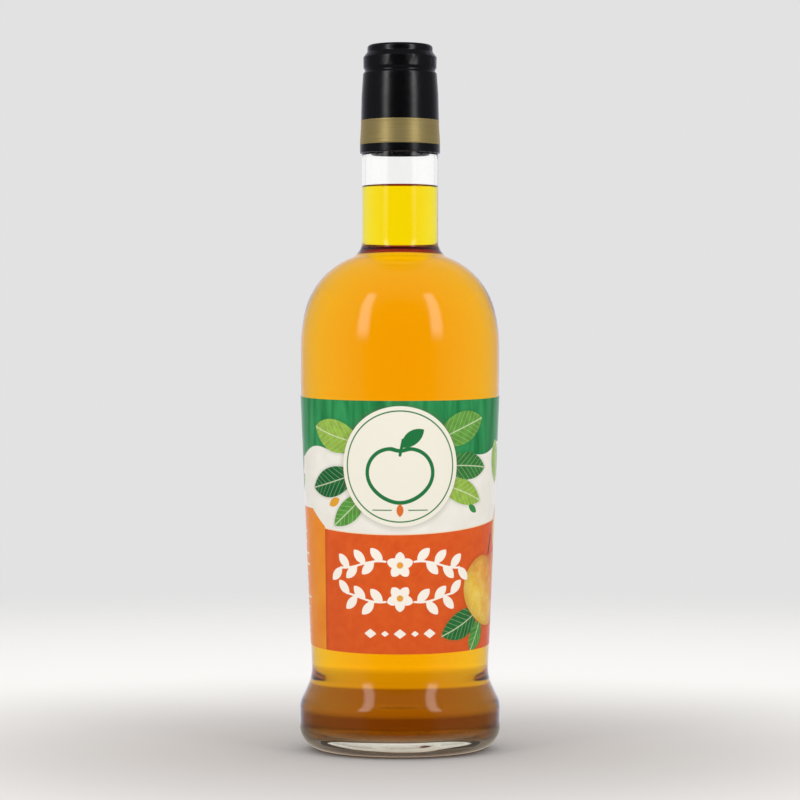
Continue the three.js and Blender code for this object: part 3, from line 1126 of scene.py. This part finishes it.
# %% Emblem and garlands
EMBLEM = (0.0, 72.5)
layers["emblem"] = apple_distance(EMBLEM, 12.5)
emblem_leaf = leaf_distance((0.6, 82.6), 38, 11.5, 5.6, 0.1)
emblem_stem = line_distance((0, 79.5), (1.2, 85.6), 1.2)
layers["emblem_leaf"] = np.minimum(emblem_leaf, emblem_stem)
layers["badge_rule"] = np.minimum(
    line_distance((-11, 57.6), (-3.4, 57.6), 0.5), line_distance((3.4, 57.6), (11, 57.6), 0.5)
)
layers["seed"] = leaf_distance((0, 54.9), 90, 5.2, 2.8)

garland = []
for height, reach, sign in ((35.6, 26, 1), (22.4, 23, -1)):
    for side in (-1, 1):
        stem = h - height - sign * 1.6 * np.sin(side * s / 5.2)
        garland.append(np.max([np.abs(stem) - 0.4, side * s - reach, 5.5 - side * s], axis=0))
        for i, place_round in enumerate(np.arange(7.0, reach, 3.6)):
            up = 1 if i % 2 == 0 else -1
            foot = height + sign * 1.6 * np.sin(place_round / 5.2)
            lean = np.degrees(np.arctan2(up * 1.0, side * 0.95))
            garland.append(leaf_distance((side * place_round, foot), lean, 7.2, 3.7, 0.05))
    for petal in np.arange(5) * 72 + 90 * sign:
        garland.append(leaf_distance((0, height), petal, 5.4, 3.9))
for place_round in np.arange(-12, 12.1, 6):
    size = 2.2 if place_round % 12 == 0 else 1.4
    lozenge = np.abs(s - place_round) * 0.6 + np.abs(h - 8.2) * 0.8 - size * 0.7
    garland.append(lozenge)
layers["garland"] = np.min(garland, axis=0)
hearts = [disc_distance((0, height), 1.3) for height in (35.6, 22.4)]
layers["heart"] = np.min(hearts, axis=0)
layers["speck_ochre"] = leaf_distance((-31.5, 58.6), 28, 6.2, 3.4)
layers["speck_green"] = leaf_distance((30.5, 58.8), -34, 5.6, 2.8)
print("print layers:", ", ".join(sorted(layers)))

# %% [markdown]
# The distances are stored on the printed face as attributes. The back of the paper has
# points too, and there they are simply far outside every shape.

# %% Print on the mesh
FAR_OUTSIDE = 50.0
count = len(label_vertices)


def store(name, kind, values, filler):
    """Stores one value or vector for each point of the label's mesh."""
    whole = np.full((count, values.shape[1] if values.ndim > 1 else 1), filler, np.float32)
    whole[: len(s)] = values.reshape(len(s), -1)
    key = "vector" if kind == "FLOAT_VECTOR" else "value"
    label.data.attributes.new(name, kind, "POINT").data.foreach_set(key, whole.ravel())


for name, distance in layers.items():
    store(name, "FLOAT", distance, FAR_OUTSIDE)
store("leaf_place", "FLOAT_VECTOR", leaf_place, 0.0)
store("apple_place", "FLOAT_VECTOR", apple_place, 0.0)
store("print_place", "FLOAT_VECTOR", np.stack([s, h, 0 * s], axis=1), 0.0)

# %% [markdown]
# ## The label: the inks
#
# The paper is coated and printed in four colours, then varnished. The varnish gives the two
# soft bands of glare. Large fields are not even: the orange has the fibre of the art paper
# that it was painted on, and the green has broad strokes that fan out.

# %% Ink on paper
INK_EDGE = 0.1

label_material, tree = new_material("varnished_print")


def attribute(name, output):
    """The value or vector that the mesh stores under a name."""
    return add_node(tree, "ShaderNodeAttribute", attribute_name=name).outputs[output]


def over(under, ink, distance, edge=INK_EDGE, shift=0.0, strength=1.0):
    """Prints an ink over what is there, wherever the distance is below the shift."""
    amount = add_node(
        tree,
        "ShaderNodeMapRange",
        {
            "Value": distance,
            "From Min": shift + edge,
            "From Max": shift - edge,
            "To Max": strength,
        },
    ).outputs[0]
    return add_node(
        tree, "ShaderNodeMix", {0: amount, 6: under, 7: ink}, data_type="RGBA"
    ).outputs[2]


def arithmetic(operation, *values):
    """The result of one arithmetic step."""
    sockets = dict(enumerate(values))
    return add_node(tree, "ShaderNodeMath", sockets, operation=operation).outputs[0]


def mottled(place, size, low, high, **settings):
    """Two colours mixed by noise whose grains measure the size in the units of the place."""
    noise = add_node(
        tree, "ShaderNodeTexNoise", {"Vector": place, "Scale": 1 / size, **settings}
    ).outputs[0]
    even = add_node(
        tree, "ShaderNodeMapRange", {"Value": noise, "From Min": 0.3, "From Max": 0.7}
    ).outputs[0]
    return add_node(
        tree, "ShaderNodeMix", {0: even, 6: low, 7: high}, data_type="RGBA"
    ).outputs[2]


place_mm = attribute("print_place", "Vector")
split = add_node(tree, "ShaderNodeSeparateXYZ", {"Vector": place_mm}).outputs
cream = mottled(place_mm, 9.0, linear("#efeade"), linear("#f5f2e9"), Detail=3.0)

# %% Orange, green and panel
orange = mottled(place_mm, 5.0, linear("#dc5110"), linear("#e8611a"), Detail=8.0, Roughness=0.65)
field = attribute("field", "Fac")
colour = over(cream, linear("#f6d9b4"), field, shift=0.25)
colour = over(colour, orange, field, shift=-0.15)
near_panel = arithmetic("SUBTRACT", split["X"], PANEL_EDGE)
fold = over(colour, linear("#b94412"), near_panel, edge=1.6, shift=0.4, strength=0.75)
colour = add_node(
    tree,
    "ShaderNodeMix",
    {0: arithmetic("LESS_THAN", field, 0.0), 6: colour, 7: fold},
    data_type="RGBA",
).outputs[2]
light_orange = mottled(place_mm, 14.0, linear("#f08614"), linear("#f59820"), Detail=2.0)
colour = over(colour, light_orange, attribute("panel", "Fac"))
colour = over(colour, linear("#f8e6c4"), attribute("rules", "Fac"), strength=0.85)

stroke_place = add_node(
    tree, "ShaderNodeMapping", {"Vector": place_mm, "Rotation": (0, 0, 0.7), "Scale": (1, 0.16, 1)}
).outputs[0]
green = mottled(stroke_place, 6.0, linear("#00743a"), linear("#36a25c"), Detail=3.0, Distortion=0.6)
colour = over(colour, green, attribute("band", "Fac"))

# %% [markdown]
# A leaf's side veins leave the rib at a slant. Along minus the distance from the rib is the
# same all along such a vein, so a repeating pattern of that sum draws them all.

# %% Leaves in ink
VEIN_SPACING = 2.6

leaf = add_node(tree, "ShaderNodeSeparateXYZ", {"Vector": attribute("leaf_place", "Vector")}).outputs
leaf_edge = attribute("leaf", "Fac")
from_rib = arithmetic("ABSOLUTE", leaf["Y"])
slant = arithmetic("SUBTRACT", leaf["X"], from_rib)
to_vein = arithmetic("PINGPONG", slant, VEIN_SPACING / 2)
tones = add_node(tree, "ShaderNodeValToRGB", {"Fac": leaf["Z"]})
ramp = tones.color_ramp.elements
ramp[0].color = linear("#0f6b35")
ramp[1].color = linear("#a5c648")
ramp.new(0.5).color = linear("#4d9c3c")
leaf_ink = mottled(place_mm, 3.0, (0.8, 0.8, 0.8, 1), (1.1, 1.1, 1.1, 1), Detail=3.0)
leaf_colour = add_node(
    tree,
    "ShaderNodeMix",
    {0: 1.0, 6: tones.outputs[0], 7: leaf_ink},
    data_type="RGBA",
    blend_type="MULTIPLY",
).outputs[2]
leaf_colour = over(leaf_colour, linear("#dbe8b4"), to_vein, edge=0.12, shift=0.14, strength=0.35)
leaf_colour = over(leaf_colour, linear("#e6efc8"), from_rib, edge=0.12, shift=0.22, strength=0.7)
colour = over(colour, linear("#0b5a30"), leaf_edge, edge=0.9, shift=0.5, strength=0.25)
colour = over(colour, leaf_colour, leaf_edge)

# %% Apples in ink
apple = add_node(tree, "ShaderNodeSeparateXYZ", {"Vector": attribute("apple_place", "Vector")}).outputs
apple_edge = attribute("apple", "Fac")
to_right = arithmetic("MULTIPLY", apple["X"], 0.55)
to_top = arithmetic("MULTIPLY", apple["Y"], 0.35)
lean = arithmetic("ADD", to_right, to_top)
flush_noise = add_node(
    tree, "ShaderNodeTexNoise", {"Vector": place_mm, "Scale": 0.16, "Detail": 5.0}
).outputs[0]
flush = arithmetic("SUBTRACT", arithmetic("ADD", lean, flush_noise), 0.42)
skin = mottled(place_mm, 4.0, linear("#efc23c"), linear("#f6d766"), Detail=4.0)
skin = over(skin, linear("#e2702a"), arithmetic("MULTIPLY", flush, -1.0), edge=0.35, strength=0.85)
rim = add_node(
    tree, "ShaderNodeMapRange", {"Value": apple_edge, "From Min": -5.0, "From Max": 0.0, "To Max": 0.4}
).outputs[0]
skin = add_node(
    tree, "ShaderNodeMix", {0: rim, 6: skin, 7: linear("#b9691c")}, data_type="RGBA"
).outputs[2]
freckle = add_node(tree, "ShaderNodeTexVoronoi", {"Vector": place_mm, "Scale": 0.55}).outputs[0]
skin = over(skin, linear("#fbe9a8"), freckle, edge=0.05, shift=0.12, strength=0.6)
colour = over(colour, linear("#8d3a12"), apple_edge, edge=1.2, shift=0.5, strength=0.35)
colour = over(colour, skin, apple_edge)
colour = over(colour, linear("#4a3018"), attribute("stem", "Fac"))

# %% [markdown]
# The badge casts a soft printed shadow. Its ring is a line a little inside its edge. The
# emblem's outline is a line too: the shader takes the distance to the apple's edge without
# its sign.

# %% Badge in ink
badge = attribute("badge", "Fac")
badge_green = linear("#1c7a40")
colour = over(colour, linear("#5b5140"), badge, edge=1.8, shift=0.6, strength=0.4)
colour = over(colour, linear("#f4efdf"), badge)
ring_line = arithmetic("ABSOLUTE", arithmetic("ADD", badge, 1.9))
colour = over(colour, badge_green, ring_line, shift=0.27)
emblem_line = arithmetic("ABSOLUTE", attribute("emblem", "Fac"))
colour = over(colour, badge_green, emblem_line, shift=0.75)
for name, ink in (
    ("emblem_leaf", badge_green),
    ("badge_rule", badge_green),
    ("seed", linear("#e2702a")),
    ("garland", linear("#fff7ea")),
    ("heart", linear("#f0a63a")),
    ("speck_ochre", linear("#e7a52c")),
    ("speck_green", linear("#3a8f45")),
):
    colour = over(colour, ink, attribute(name, "Fac"))

# %% Varnish
place = add_node(tree, "ShaderNodeTexCoord").outputs["Object"]
fibre = add_node(
    tree, "ShaderNodeTexNoise", {"Vector": place, "Scale": 1 / (0.5 * MM), "Detail": 4.0}
).outputs[0]
paper_bump = add_node(
    tree, "ShaderNodeBump", {"Height": fibre, "Strength": 0.25, "Distance": 0.012 * MM}
).outputs[0]
printed = add_node(
    tree,
    "ShaderNodeBsdfPrincipled",
    {
        "Base Color": colour,
        "Roughness": 0.6,
        "IOR": 1.5,
        "Specular IOR Level": 0.15,
        "Coat Weight": 0.5,
        "Coat Roughness": 0.13,
        "Coat IOR": 1.5,
        "Normal": paper_bump,
        "Coat Normal": paper_bump,
    },
)
add_node(tree, "ShaderNodeOutputMaterial", {"Surface": printed.outputs[0]})

# %% [markdown]
# The back of the label and its cut edges are bare paper, pressed and white. The back is seen
# from behind, through the glass and the vinegar.

# %% Bare paper
paper_material, tree = new_material("bare_label_paper")
place = add_node(tree, "ShaderNodeTexCoord").outputs["Object"]
pulp = add_node(tree, "ShaderNodeTexNoise", {"Vector": place, "Scale": 1 / (0.8 * MM), "Detail": 5.0})
pulp_tone = add_node(
    tree,
    "ShaderNodeMix",
    {0: pulp.outputs[0], 6: linear("#c9c3b7"), 7: linear("#d8d3c8")},
    data_type="RGBA",
).outputs[2]
paper = add_node(tree, "ShaderNodeBsdfPrincipled", {"Base Color": pulp_tone, "Roughness": 0.85})
add_node(tree, "ShaderNodeOutputMaterial", {"Surface": paper.outputs[0]})
finished(label, "label", "label", label_material, paper_material)
slots = np.ones(len(label_faces), int)
slots[: len(printed_faces)] = 0
label.data.polygons.foreach_set("material_index", slots)

# %% [markdown]
# ## Light paths
#
# A ray that crosses the foot meets glass and vinegar many times, so the limits on its
# bounces are raised. The picture keeps its colours as they are, without a film look.

# %% Finish
cycles = bpy.context.scene.cycles
cycles.max_bounces = 24
cycles.transmission_bounces = 24
cycles.glossy_bounces = 6
cycles.transparent_max_bounces = 16
bpy.context.scene.view_settings.view_transform = "Standard"
bpy.context.scene.view_settings.look = "None"
